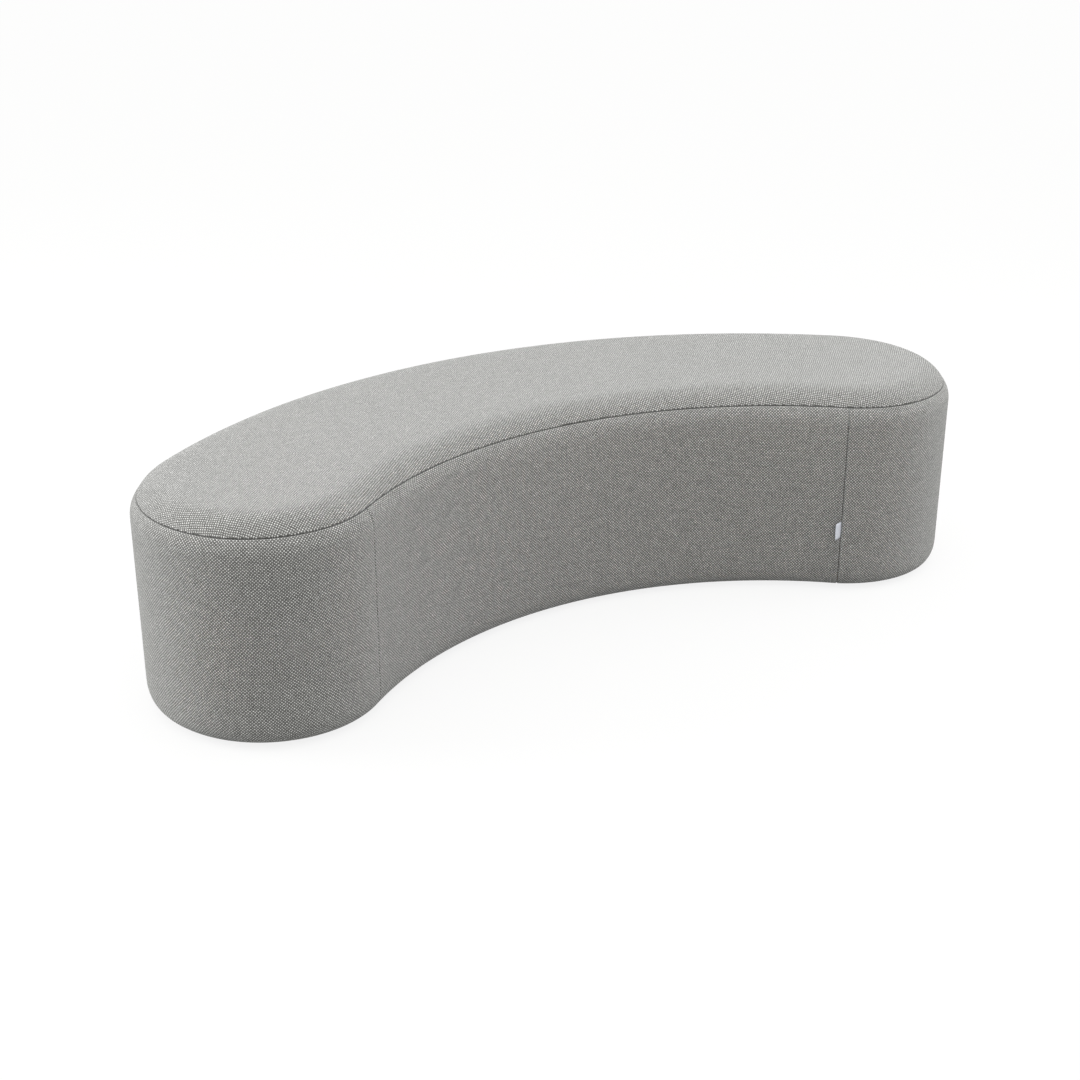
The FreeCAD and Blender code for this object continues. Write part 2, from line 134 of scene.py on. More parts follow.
# Glue blocks: four sawn softwood blocks in the corners between the end spines and the last ribs.
# They are glued in place and stiffen the corner, with upright grain.
PINE_RING = 5 * MM
pine, tree, shader = start_material("sawn_pine")
coords = put(tree, "TexCoord")
ring_scale = math.tau / (20 * PINE_RING)
ring_look = {"Vector": coords.outputs["Object"], "Scale": ring_scale, "Distortion": 2.5, "Detail": 2.0}
rings = put(tree, "TexWave", ring_look, bands_direction="X")
# Pale early wood and orange late wood lie in narrow bands, with a slightly furry sawn face.
grain = put(tree, "ValToRGB", {"Fac": rings.outputs[1]})
grain.color_ramp.elements[0].color = linear("#e2c391")
grain.color_ramp.elements[1].color = linear("#c2935a")
bump = put(tree, "Bump", {"Height": rings.outputs[1], "Strength": 0.3, "Distance": 0.2 * MM})
tree.links.new(grain.outputs[0], shader.inputs["Base Color"])
tree.links.new(bump.outputs[0], shader.inputs["Normal"])
shader.inputs["Roughness"].default_value = 0.7
dress(["left_end_glue_blocks", "right_end_glue_blocks"], pine)

# Skins: 4 mm fibreboard bent round the frame and pinned to the edges of both boards.
# They carry the side foam and close the frame all round.
FIBRE = 1.2 * MM
fibreboard, tree, shader = start_material("bent_fibreboard")
coords = put(tree, "TexCoord")
fibres = put(tree, "TexNoise", {"Vector": coords.outputs["Object"], "Scale": 1 / FIBRE, "Detail": 3.0})
# Pressed fibre is an even brown, flecked with darker and paler chips.
flecks = put(tree, "ValToRGB", {"Fac": fibres.outputs[0]})
flecks.color_ramp.elements[0].color = linear("#6f5238")
flecks.color_ramp.elements[0].position = 0.35
flecks.color_ramp.elements[1].color = linear("#a17f58")
flecks.color_ramp.elements[1].position = 0.7
bump = put(tree, "Bump", {"Height": fibres.outputs[0], "Strength": 0.2, "Distance": 0.1 * MM})
tree.links.new(flecks.outputs[0], shader.inputs["Base Color"])
tree.links.new(bump.outputs[0], shader.inputs["Normal"])
shader.inputs["Roughness"].default_value = 0.55
dress([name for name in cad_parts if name.endswith("_skin")], fibreboard)

# Frame screws: countersunk steel screws that draw both boards on to the ribs.
# They are zinc plated, bright with a faint straw tint and cloudy handling marks.
PLATING_CLOUD = 3 * MM


def zinc_plate(name):
    """Zinc-plated steel: a bright metal whose gloss goes cloudy in patches."""
    material, tree, shader = start_material(name)
    coords = put(tree, "TexCoord")
    cloud = put(tree, "TexNoise", {"Vector": coords.outputs["Object"], "Scale": 1 / PLATING_CLOUD})
    tint = put(tree, "ValToRGB", {"Fac": cloud.outputs[0]})
    tint.color_ramp.elements[0].color = linear("#b9b5a4")
    tint.color_ramp.elements[1].color = linear("#d2d0c6")
    gloss = put(tree, "MapRange", {"Value": cloud.outputs[0], "To Min": 0.28, "To Max": 0.48})
    tree.links.new(tint.outputs[0], shader.inputs["Base Color"])
    tree.links.new(gloss.outputs[0], shader.inputs["Roughness"])
    shader.inputs["Metallic"].default_value = 1.0
    return material


zinc = zinc_plate("zinc_plated_steel")
dress(["seat_board_screws", "base_board_screws"], zinc)

# Side foam: four strips of soft polyether foam glued round the skins, rounded at the foot.
# Their ends stop short of one another where the sewn edges of the cover turn in.
BACK_RADIUS = 1270 * MM
MID_DEPTH = 484 * MM
END_BACK_RADIUS = 254 * MM
END_FRONT_RADIUS = 221 * MM
FABRIC = 1.5 * MM
LAYER_GAP = 0.3 * MM
SIDE_FOAM = 18 * MM
SEAM_ALLOWANCE = 9 * MM
RIGHT_SEAM_SHIFT = 12 * MM
BACK_COLUMNS, OUTER_COLUMNS, INNER_COLUMNS, FRONT_COLUMNS = 248, 56, 52, 256
FOOT_RISE = 38 * MM
FOAM_COARSENESS = 4
FOAM_ROW = 40 * MM
FOAM_CELL = 1.6 * MM
QUARTER = math.pi / 2

# The plan is six tangent arcs: centre, radius, start and end angle, +1 bulging or -1 hollow, columns.
half_length = (cad_box[1].x - cad_box[0].x) / 2
back_y = cad_box[1].y - BACK_RADIUS
phi = math.asin((half_length - END_BACK_RADIUS) / (BACK_RADIUS - END_BACK_RADIUS))
outer = Vector((math.sin(phi), math.cos(phi))) * (BACK_RADIUS - END_BACK_RADIUS)
inner = outer + Vector((math.cos(phi), -math.sin(phi))) * (END_BACK_RADIUS - END_FRONT_RADIUS)
front_mid = BACK_RADIUS - MID_DEPTH
fall = inner.y - front_mid
front_radius = (inner.x ** 2 + fall ** 2 - END_FRONT_RADIUS ** 2) / (2 * (END_FRONT_RADIUS - fall))
front_y = front_mid - front_radius
turn = math.atan2(inner.y - front_y, inner.x)
BACK = (0, back_y, BACK_RADIUS, QUARTER - phi, QUARTER + phi, 1, BACK_COLUMNS)
LEFT_OUTER = (-outer.x, outer.y + back_y, END_BACK_RADIUS, QUARTER + phi, math.pi + phi, 1, OUTER_COLUMNS)
LEFT_INNER = (-inner.x, inner.y + back_y, END_FRONT_RADIUS, math.pi + phi, math.tau - turn, 1, INNER_COLUMNS)
FRONT = (0, front_y + back_y, front_radius, math.pi - turn, turn, -1, FRONT_COLUMNS)
RIGHT_INNER = (inner.x, inner.y + back_y, END_FRONT_RADIUS, math.pi + turn, math.tau - phi, 1, INNER_COLUMNS)
RIGHT_OUTER = (outer.x, outer.y + back_y, END_BACK_RADIUS, -phi, QUARTER - phi, 1, OUTER_COLUMNS)
WHOLE = [(arc, arc[3], arc[4]) for arc in (BACK, LEFT_OUTER, LEFT_INNER, FRONT, RIGHT_INNER, RIGHT_OUTER)]
right_seam = RIGHT_INNER[3] + RIGHT_SEAM_SHIFT / END_FRONT_RADIUS


def on_arc(arc, inset, angle, level):
    """Point at an inset from the outline, at an angle of one of its arcs."""
    reach = arc[2] - arc[5] * inset
    return Vector((arc[0] + reach * math.cos(angle), arc[1] + reach * math.sin(angle), level))


def round_points(centre, radius, start, end, steps):
    """Points of an arc of the upright section, at angles in degrees from the inward level line."""
    angles = [math.radians(start + (end - start) * step / steps) for step in range(steps + 1)]
    return [Vector((centre[0] + radius * math.cos(a), centre[1] + radius * math.sin(a))) for a in angles]


def foot_points(face, steps, last=90):
    """Points of the rounded foot, from an upright face at an inset down and in to the level underside."""
    wide, high = foot_roll - face, FOOT_RISE - face
    angles = [math.radians(last * step / steps) for step in range(steps + 1)]
    return [foot_centre - Vector((wide * math.cos(a), high * math.sin(a))) for a in angles]


def divided(one, two, length):
    """Points along a straight leg of the section, about a length apart, without its ends."""
    steps = max(1, round((two - one).length / length))
    return [one.lerp(two, step / steps) for step in range(1, steps)]


def sweep(bm, section, runs, coarseness=1):
    """Carries an upright section round plan arcs. Vertices keep (way along, way up, inset) and outward."""
    place = bm.verts.layers.float_vector.get("place") or bm.verts.layers.float_vector.new("place")
    outward = bm.verts.layers.float_vector.get("outward") or bm.verts.layers.float_vector.new("outward")
    travelled = 0.0
    for arc, start, end in runs:
        before = set(bm.verts)
        climbed = 0.0
        wire = []
        for index, (inset, level) in enumerate(section):
            climbed += (section[index] - section[index - 1]).length if index else 0.0
            vertex = bm.verts.new(on_arc(arc, inset, start, level))
            vertex[place] = (0.0, climbed, inset)
            wire.append(vertex)
        edges = [bm.edges.new(pair) for pair in zip(wire, wire[1:])]
        share = abs((end - start) / (arc[4] - arc[3]))
        steps = max(1, round(share * arc[6] / coarseness))
        bmesh.ops.spin(
            bm, geom=wire + edges, cent=(arc[0], arc[1], 0), axis=(0, 0, 1), dvec=(0, 0, 0),
            angle=end - start, steps=steps, use_merge=False, use_duplicate=False,
        )
        for vertex in set(bm.verts) - before:
            ray = vertex.co.xy - Vector(arc[:2])
            turned = (math.atan2(ray.y, ray.x) - start + math.pi) % math.tau - math.pi
            vertex[place].x = travelled + abs(turned) * arc[2]
            vertex[outward] = (ray.normalized() * arc[5]).to_3d()
        travelled += abs(end - start) * arc[2]
    bmesh.ops.remove_doubles(bm, verts=bm.verts[:], dist=0.005 * MM)
    return place, outward


def trimmed(runs, gap):
    """A run of arcs, shortened by a gap at both ends."""
    cut = list(runs)
    arc, start, end = cut[0]
    cut[0] = (arc, start + math.copysign(gap / arc[2], end - start), end)
    arc, start, end = cut[-1]
    cut[-1] = (arc, start, end - math.copysign(gap / arc[2], end - start))
    return cut


def piece(name, bm, material, smooth=True):
    """Turns a bmesh into a piece that rides on the bench."""
    mesh = bpy.data.meshes.new(name)
    bm.to_mesh(mesh)
    bm.free()
    mesh.materials.append(material)
    for polygon in mesh.polygons:
        polygon.use_smooth = smooth
    made = bpy.data.objects.new(name, mesh)
    bpy.context.scene.collection.objects.link(made)
    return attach(made, "root")


def open_cell_foam(name, pale, deep):
    """Polyether foam: chalky, with fine dark cells and a slight yellowing in patches."""
    material, tree, shader = start_material(name)
    coords = put(tree, "TexCoord")
    cells = put(tree, "TexVoronoi", {"Vector": coords.outputs["Object"], "Scale": 1 / FOAM_CELL})
    patch = put(tree, "TexNoise", {"Vector": coords.outputs["Object"], "Scale": 12.0, "Detail": 2.0})
    tone = put(tree, "ValToRGB", {"Fac": patch.outputs[0]})
    tone.color_ramp.elements[0].color = linear(deep)
    tone.color_ramp.elements[0].position = 0.3
    tone.color_ramp.elements[1].color = linear(pale)
    tone.color_ramp.elements[1].position = 0.7
    bump = put(tree, "Bump", {"Height": cells.outputs[0], "Strength": 0.6, "Distance": 0.5 * MM}, invert=True)
    tree.links.new(tone.outputs[0], shader.inputs["Base Color"])
    tree.links.new(bump.outputs[0], shader.inputs["Normal"])
    shader.inputs["Roughness"].default_value = 0.95
    return material


def foam_piece(name, node, bm, material):
    """Points the faces of a foam block outwards and puts it in the place of its solid."""
    bmesh.ops.recalc_face_normals(bm, faces=bm.faces[:])
    made = piece(name, bm, material, smooth=False)
    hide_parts(node)
    return made


board_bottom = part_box("base_board")[0].z
deck_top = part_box("seat_board")[1].z
cover_bottom = board_bottom - FABRIC
foam_face = FABRIC + LAYER_GAP
foam_back = foam_face + SIDE_FOAM
foot_roll = foam_back + LAYER_GAP
foot_centre = Vector((foot_roll, cover_bottom + FOOT_RISE))
side_foam = open_cell_foam("soft_polyether_foam", "#e9e4cf", "#dcd3b4")
foot = foot_points(foam_face, 6, 89)
face_top, back_top = Vector((foam_face, deck_top)), Vector((foam_back, deck_top))
strip_section = [face_top, *divided(face_top, foot[0], FOAM_ROW), *foot]
strip_section += [*divided(foot[-1], back_top, FOAM_ROW), back_top, face_top]
side_runs = {
    "back": [(BACK, BACK[3], BACK[4])],
    "left_end": [(LEFT_OUTER, *LEFT_OUTER[3:5]), (LEFT_INNER, *LEFT_INNER[3:5])],
    "front": [(FRONT, *FRONT[3:5]), (RIGHT_INNER, RIGHT_INNER[3], right_seam)],
    "right_end": [(RIGHT_INNER, right_seam, RIGHT_INNER[4]), (RIGHT_OUTER, *RIGHT_OUTER[3:5])],
}
for side, runs in side_runs.items():
    bm = bmesh.new()
    gap = LAYER_GAP if side == "back" else FABRIC + LAYER_GAP
    sweep(bm, strip_section, trimmed(runs, gap), FOAM_COARSENESS)
    bmesh.ops.holes_fill(bm, edges=[edge for edge in bm.edges if edge.is_boundary], sides=0)
    foam_piece(side + "_foam_strip", side + "_foam", bm, side_foam)

# Seat foam: one crowned slab of firm foam, glued on the seat board and reaching out over the side foam.
# A notch round its edge, and a nick at each upright seam, leave room for the sewn edges of the cover.
SEAM_INSET = 12.5 * MM
ROLL_HEIGHT = 32.5 * MM
CROWN_WIDTH = 56 * MM
WADDING = 8 * MM
SLAB_COARSENESS = 2
NICK_WIDTH = 16 * MM
NICK_DEPTH = 8 * MM
PLATEAU_EDGE = 205 * MM
PLATEAU_CUTS = 8
top_level = cad_box[1].z
seam_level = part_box("cover_top")[0].z
crown_rise = top_level - seam_level
crown_end = SEAM_INSET + CROWN_WIDTH
allowance_end = SEAM_INSET + SEAM_ALLOWANCE
roll_radius = (SEAM_INSET ** 2 + ROLL_HEIGHT ** 2) / (2 * SEAM_INSET)
crown_radius = (CROWN_WIDTH ** 2 + crown_rise ** 2) / (2 * crown_rise)
roll_centre = Vector((roll_radius, seam_level - ROLL_HEIGHT))
crown_centre = Vector((crown_end, top_level - crown_radius))


def outer_angle(centre, radius, level):
    """Angle at which the outer side of a circle of the section meets a level."""
    return 180 - math.degrees(math.asin((level - centre.y) / radius))


def close_plateau(bm, place, level):
    """Closes the level middle of a crescent: its back and front edges are bridged and the bridge divided."""
    rim = [edge for edge in bm.edges if edge.is_boundary and abs(edge.verts[0].co.z - level) < 0.01 * MM]
    rim = [edge for edge in rim if edge.verts[0][place].z > PLATEAU_EDGE - MM]
    ends = [vertex for edge in rim for vertex in edge.verts]
    tips = {min(ends, key=lambda v: v.co.x), max(ends, key=lambda v: v.co.x)}
    sides = [edge for edge in rim if not tips & set(edge.verts)]
    rungs = bmesh.ops.bridge_loops(bm, edges=sides)["edges"]
    bmesh.ops.subdivide_edges(bm, edges=rungs, cuts=PLATEAU_CUTS, use_grid_fill=True)
    holes = [edge for edge in bm.edges if edge.is_boundary and abs(edge.verts[0].co.z - level) < 0.01 * MM]
    bmesh.ops.holes_fill(bm, edges=holes, sides=0)


lap_low, lap_high = seam_level - FABRIC, seam_level + FABRIC
foam_shoulder = roll_radius - FABRIC - LAYER_GAP
foam_crown = crown_radius - FABRIC - WADDING
foam_top = top_level - FABRIC - WADDING
notch = allowance_end + LAYER_GAP
shoulder_end = outer_angle(roll_centre, foam_shoulder, lap_low)
crown_start = outer_angle(crown_centre, foam_crown, lap_high)
slab_section = [Vector((inset, deck_top)) for inset in (PLATEAU_EDGE, foot_roll, foam_face)]
slab_section += round_points(roll_centre, foam_shoulder, 180, shoulder_end, 6)
slab_section += [Vector((notch, lap_low)), Vector((notch, lap_high))]
slab_section += round_points(crown_centre, foam_crown, crown_start, 90, 8)
slab_section += [Vector((PLATEAU_EDGE, foam_top))]
bm = bmesh.new()
place, outward = sweep(bm, slab_section, WHOLE, SLAB_COARSENESS)
close_plateau(bm, place, deck_top)
close_plateau(bm, place, foam_top)
for arc, angle in ((LEFT_INNER, LEFT_INNER[4]), (RIGHT_INNER, right_seam)):
    seam_line = on_arc(arc, 0, angle, 0).xy
    for vertex in bm.verts:
        beside = (vertex.co.xy - seam_line).length
        if beside < NICK_WIDTH and vertex.co.z < lap_low + MM:
            vertex.co -= vertex[outward] * (NICK_DEPTH * (1 - beside / NICK_WIDTH))
firm_foam = open_cell_foam("firm_polyether_foam", "#dfe3e4", "#c9d0d2")
foam_piece("seat_foam_slab", "seat_foam", bm, firm_foam)

# Seat wadding: a layer of bonded polyester fibre over the crown, held by the cover alone.
# It rounds off the foam and gives the top its soft touch.
FIBRE_TUFT = 6 * MM
wadding_face = crown_radius - FABRIC - LAYER_GAP
wadding_top = crown_centre.y + wadding_face
wadding_low = lap_high + LAYER_GAP
wadding_start = outer_angle(crown_centre, wadding_face, wadding_low)
wadding_section = round_points(crown_centre, wadding_face, wadding_start, 90, 8)
wadding_section += [Vector((PLATEAU_EDGE, wadding_top))]
bm = bmesh.new()
place, outward = sweep(bm, wadding_section, WHOLE, FOAM_COARSENESS)
close_plateau(bm, place, wadding_top)
polyester, tree, shader = start_material("bonded_polyester_wadding")
coords = put(tree, "TexCoord")
tufts = put(tree, "TexNoise", {"Vector": coords.outputs["Object"], "Scale": 1 / FIBRE_TUFT, "Detail": 6.0})
# Loose white fibre scatters light, so it is bright and matt, with shallow tangled tufts.
fluff = put(tree, "ValToRGB", {"Fac": tufts.outputs[0]})
fluff.color_ramp.elements[0].color = linear("#d9dadb")
fluff.color_ramp.elements[1].color = linear("#f4f4f2")
bump = put(tree, "Bump", {"Height": tufts.outputs[0], "Strength": 0.7, "Distance": 1.5 * MM})
tree.links.new(fluff.outputs[0], shader.inputs["Base Color"])
tree.links.new(bump.outputs[0], shader.inputs["Normal"])
shader.inputs["Roughness"].default_value = 1.0
shader.inputs["Sheen Weight"].default_value = 0.2
wadding = foam_piece("seat_wadding_pad", "seat_wadding", bm, polyester)
layer = wadding.modifiers.new("layer", "SOLIDIFY")
layer.thickness = WADDING - 2 * LAYER_GAP
layer.offset = -1

# Cover, top panel: the crowned panel of grey melange cloth that is sewn to the side panels all round.
# Its edge turns in under the wadding, and the seam sinks between two small rolled folds.
YARN = 3.05 * MM
YARN_DRIFT = 30 * MM
YARN_WANDER = 2.2 * YARN
SLUB = 60 * MM
MOTTLE = 12 * MM
MOTTLE_DEPTH = 0.08
FLECK_DEPTH = 0.12
WOOL_FIBRE = 0.9 * MM
TOP_FOLD = 2.0 * MM
TOP_FOLD_REACH = 2.6 * TOP_FOLD
SEAM_GAP = 0.45 * MM
CLOTH_ROW = 9 * MM
SEAM_HELD = 10 * MM
SEAM_FADE = 40 * MM
FILL_PRESSURE = 1.2
FILL_LUMP = 95 * MM
BROAD_SHARE = 0.75
FINE_PER_BROAD = 3
FINE_SHIFT = Vector((7, 3, 1))
SETTLE_FRAMES = 8
SETTLE_CAP = 1.2 * MM
EVENING = 16
MIDDLE_FADE = 0.4


def woven_melange(name):
    """Plain-woven wool: pale weft dots in offset rows over darker warp, every crossing a shade of its own,
    with painted shade in the gaps between the yarns.
    """
    material, tree, shader = start_material(name)
    flat = put(tree, "UVMap", uv_map="cloth").outputs[0]
    # The yarns wander by a part of their width, so the rows are never quite straight.
    wander = {"Vector": flat, "Scale": 1 / YARN_DRIFT, "Detail": 4.0, "Roughness": 0.75}
    wander = put(tree, "TexNoise", wander)
    centred = put(tree, "VectorMath", {0: wander.outputs[1], 1: (0.5, 0.5, 0.5)}, operation="SUBTRACT")
    uneven = put(tree, "VectorMath", {0: centred.outputs[0], "Scale": YARN_WANDER}, operation="SCALE")
    laid = put(tree, "VectorMath", {0: flat, 1: uneven.outputs[0]}, operation="ADD")
    yarns = put(tree, "VectorMath", {0: laid.outputs[0], "Scale": 1 / YARN}, operation="SCALE")
    crossing = put(tree, "VectorMath", {0: yarns.outputs[0]}, operation="FLOOR")
    fleck = put(tree, "TexWhiteNoise", {"Vector": crossing.outputs[0]}, noise_dimensions="2D")
    turned = put(tree, "VectorMath", {0: yarns.outputs[0], "Scale": math.pi}, operation="SCALE")
    wave = put(tree, "VectorMath", {0: turned.outputs[0]}, operation="SINE")
    wave = put(tree, "SeparateXYZ", {0: wave.outputs[0]})
    over = put(tree, "Math", {0: wave.outputs["X"], 1: wave.outputs["Y"]}, operation="MULTIPLY")
    rise = put(tree, "Math", {0: over.outputs[0]}, operation="ABSOLUTE")
    side = {"Value": over.outputs[0], "From Min": -0.38, "From Max": 0.12}
    weft_up = put(tree, "MapRange", side, interpolation_type="SMOOTHSTEP")
    # Painted shade: where the yarn tops fall away into the gaps between the yarns, a dark grey is mixed in.
    edge = {"Value": rise.outputs[0], "From Min": 0.0, "From Max": 0.55}
    clear_of_gap_shade = put(tree, "MapRange", edge, interpolation_type="SMOOTHSTEP")

    # Each yarn runs pale and dark along its length, weft one way and warp the other.
    shades = []
    for stretch, dark, pale in (
        ((1 / SLUB, 1 / YARN, 1), "#cececb", "#f0f0ed"),
        ((1 / YARN, 1 / SLUB, 1), "#62625e", "#8e8e8a"),
    ):
        drawn = put(tree, "Mapping", {"Vector": flat, "Scale": stretch})
        streak = {"Vector": drawn.outputs[0], "Scale": 1.0, "Detail": 3.0, "Roughness": 0.7}
        streak = put(tree, "TexNoise", streak)
        shade = put(tree, "ValToRGB", {"Fac": streak.outputs[0]})
        shade.color_ramp.elements[0].color = linear(dark)
        shade.color_ramp.elements[0].position = 0.32
        shade.color_ramp.elements[1].color = linear(pale)
        shade.color_ramp.elements[1].position = 0.68
        shades.append(shade.outputs[0])
    yarn = put(tree, "Mix", {0: weft_up.outputs[0], 6: shades[1], 7: shades[0]}, data_type="RGBA")
    # The dark grey mixed in here is painted shade in the gaps between the yarns, not a yarn colour.
    cloth = {0: clear_of_gap_shade.outputs[0], 6: linear("#4e4e4b"), 7: yarn.outputs[2]}
    cloth = put(tree, "Mix", cloth, data_type="RGBA")
    cloud = put(tree, "TexNoise", {"Vector": flat, "Scale": 1 / MOTTLE, "Detail": 2.0})
    cloud = {"Value": cloud.outputs[0], "From Min": 0.3, "From Max": 0.7}
    cloud = put(tree, "MapRange", cloud | {"To Min": 1 - MOTTLE_DEPTH, "To Max": 1 + MOTTLE_DEPTH})
    tone = {"Value": fleck.outputs[0], "To Min": 1 - FLECK_DEPTH, "To Max": 1 + FLECK_DEPTH}
    tone = put(tree, "MapRange", tone)
    tone = put(tree, "Math", {0: tone.outputs[0], 1: cloud.outputs[0]}, operation="MULTIPLY")
    tinted = put(tree, "VectorMath", {0: cloth.outputs[2], "Scale": tone.outputs[0]}, operation="SCALE")

    fuzz = put(tree, "TexNoise", {"Vector": flat, "Scale": 1 / WOOL_FIBRE, "Detail": 2.0})
    pile = {0: fuzz.outputs[0], 1: 0.25, 2: rise.outputs[0]}
    pile = put(tree, "Math", pile, operation="MULTIPLY_ADD")
    bump = put(tree, "Bump", {"Height": pile.outputs[0], "Strength": 0.9, "Distance": 0.9 * MM})
    tree.links.new(tinted.outputs[0], shader.inputs["Base Color"])
    tree.links.new(bump.outputs[0], shader.inputs["Normal"])
    shader.inputs["Roughness"].default_value = 0.92
    shader.inputs["Specular IOR Level"].default_value = 0.25
    shader.inputs["Sheen Weight"].default_value = 0.5
    shader.inputs["Sheen Roughness"].default_value = 0.45
    return material


def rounded_corner(before, corner, after, radius, steps=4):
    """Points of the arc that rounds a corner of the section between two legs."""
    one, two = (before - corner).normalized(), (after - corner).normalized()
    half = one.angle(two) / 2
    centre = corner + (one + two).normalized() * (radius / math.sin(half))
    first = corner + one * (radius / math.tan(half)) - centre
    last = corner + two * (radius / math.tan(half)) - centre
    return [centre + first.lerp(last, step / steps).normalized() * radius for step in range(steps + 1)]


def weigh(bm, seam_distance):
    """Marks where a panel is held by its seams, and how hard the lumps of the filling press on it."""
    weights = bm.verts.layers.deform.verify()
    for vertex in bm.verts:
        distance = seam_distance(vertex)
        free = min(1.0, max(0.0, distance - SEAM_HELD) / SEAM_FADE)
        broad = 0.5 + 0.5 * noise.noise(vertex.co / FILL_LUMP)
        fine = 0.5 + 0.5 * noise.noise(vertex.co * FINE_PER_BROAD / FILL_LUMP + FINE_SHIFT)
        vertex[weights][0] = 1 - free
        vertex[weights][1] = free * (BROAD_SHARE * broad + (1 - BROAD_SHARE) * fine)


def settle(made):
    """Lets the filling press a sewn panel out between its seams, in a short simulation."""
    sewn = made.vertex_groups.new(name="sewn")
    made.vertex_groups.new(name="filled")
    simulation = made.modifiers.new("settle", "CLOTH")
    simulation.settings.vertex_group_mass = "sewn"
    simulation.settings.vertex_group_pressure = "filled"
    simulation.settings.use_pressure = True
    simulation.settings.uniform_pressure_force = FILL_PRESSURE
    simulation.settings.effector_weights.gravity = 0
    simulation.point_cache.frame_start, simulation.point_cache.frame_end = 1, SETTLE_FRAMES
    for step in range(1, SETTLE_FRAMES + 1):
        bpy.context.scene.frame_set(step)
    verts = made.data.vertices
    pressed = made.evaluated_get(bpy.context.evaluated_depsgraph_get()).data.vertices
    lifts = np.array([(after.co - rest.co).dot(rest.normal) for rest, after in zip(verts, pressed)])
    made.modifiers.remove(simulation)
    # The stiff cloth evens out the lumps: each point takes the mean of its neighbours, some times over.
    lifts = np.clip(lifts, 0.0, SETTLE_CAP)
    one, two = np.array([edge.vertices[:] for edge in made.data.edges]).T
    count = lifts.size
    neighbours = 1 + np.bincount(one, minlength=count) + np.bincount(two, minlength=count)
    for _ in range(EVENING):
        shared = np.bincount(one, lifts[two], count) + np.bincount(two, lifts[one], count)
        lifts = (lifts + shared) / neighbours
    normals = [vertex.normal.copy() for vertex in verts]
    for vertex, normal, lift in zip(verts, normals, lifts):
        vertex.co += normal * lift * (1 - sewn.weight(vertex.index))
    bpy.context.scene.frame_set(1)
    made.vertex_groups.clear()


def lay_weave(bm, position):
    """Writes the cloth's own flat position, in metres, as its UV map."""
    flat = bm.loops.layers.uv.new("cloth")
    for face in bm.faces:
        for loop in face.loops:
            loop[flat].uv = position(loop.vert)


def cloth_piece(name, node, bm):
    """Gives a sewn panel its thickness and puts it in the place of its solid."""
    made = piece(name, bm, melange)
    settle(made)
    thickness = made.modifiers.new("cloth", "SOLIDIFY")
    thickness.thickness = FABRIC
    thickness.offset = -1
    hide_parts(node)


def crown_slack(inset):
    """How much longer the cloth is than its plan, from the plateau out to an inset."""
    across = max(0.0, crown_end - inset)
    return crown_radius * math.asin(min(1.0, across / crown_radius)) - across


melange = woven_melange("woven_wool_melange")
seam_angle = outer_angle(crown_centre, crown_radius, seam_level)
fold_angle = math.degrees(TOP_FOLD_REACH / crown_radius)
crown = round_points(crown_centre, crown_radius, seam_angle - fold_angle, 90, 9)
top_edge = Vector((allowance_end, seam_level + SEAM_GAP))
top_corner = Vector((SEAM_INSET, seam_level + SEAM_GAP))
plateau_edge = Vector((PLATEAU_EDGE, top_level))
top_section = [top_edge, *rounded_corner(top_edge, top_corner, crown[0], TOP_FOLD), *crown]
top_section += [*divided(crown[-1], plateau_edge, 1.5 * CLOTH_ROW), plateau_edge]
bm = bmesh.new()
place, outward = sweep(bm, top_section, WHOLE)
close_plateau(bm, place, top_level)
bmesh.ops.recalc_face_normals(bm, faces=bm.faces[:])
# The level middle of the seat is held as well, and the filling shows more towards the crown.
weigh(bm, lambda v: min(v[place].z - SEAM_INSET, SEAM_HELD + MIDDLE_FADE * (PLATEAU_EDGE - v[place].z)))
lay_weave(bm, lambda v: v.co.xy + v[outward].xy * crown_slack(v[place].z))
cloth_piece("top_panel_cloth", "cover_top", bm)

# Cover, side panels: one panel round the hollow front and one long panel round the ends and the back.
# Each runs from the top seam over the shoulder and down, and turns under the base, where it is stapled.
# They meet in two upright seams, with both edges turned in.
TURN_UNDER = 45 * MM
SIDE_FOLD = 2.0 * MM
UPRIGHT_FOLD = 2.0 * MM
UPRIGHT_GAP = 0.7 * MM
FOLD_STEPS = 4
FOOT_FLAP = 3 * MM
roll_end = outer_angle(roll_centre, roll_radius, seam_level)
roll = round_points(roll_centre, roll_radius, 180, roll_end + math.degrees(0.6 * SIDE_FOLD / roll_radius), 7)
hem = Vector((foot_roll + TURN_UNDER, cover_bottom))
cover_foot = foot_points(0, 9)[::-1]
side_corner = Vector((SEAM_INSET, seam_level - SEAM_GAP))
side_edge = Vector((allowance_end, seam_level - SEAM_GAP))
side_section = [hem, *divided(hem, cover_foot[0], CLOTH_ROW), *cover_foot]
side_section += [*divided(cover_foot[-1], roll[0], CLOTH_ROW), *roll]
side_section += [*rounded_corner(roll[-1], side_corner, side_edge, SIDE_FOLD), side_edge]
seam_climb = sum((two - one).length for one, two in zip(side_section, side_section[1:])) - SEAM_ALLOWANCE


def far_edges(grown, verts):
    """The edges of an extrusion that join its new vertices, ready to be extruded again."""
    far = set(verts)
    return [part for part in grown if isinstance(part, bmesh.types.BMEdge) and far.issuperset(part.verts)]


